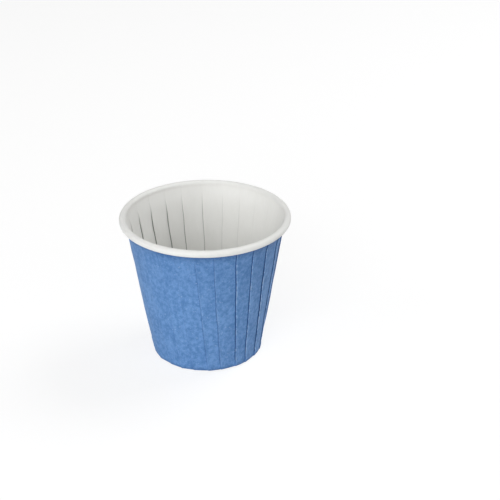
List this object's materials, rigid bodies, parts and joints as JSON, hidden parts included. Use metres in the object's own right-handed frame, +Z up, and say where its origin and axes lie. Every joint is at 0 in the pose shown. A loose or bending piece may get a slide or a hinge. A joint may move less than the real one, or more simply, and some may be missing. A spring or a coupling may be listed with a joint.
{
  "type": "paper baking cup",
  "caption": "Tall round baking cup of pleated paper: tapering wall of lapped folds, flat base, rolled white rim, blue outside and white inside.",
  "frame": {"origin": "centre of the base underside, on the cup's axis", "axes": "+Z up along the cup's axis, from the base to the open rim"},
  "size_m": [0.076, 0.076, 0.0665],
  "materials": {
    "blue_paper": "matte"
  },
  "bodies": {
    "root": {"cup": "blue_paper"}
  },
  "joints": []
}
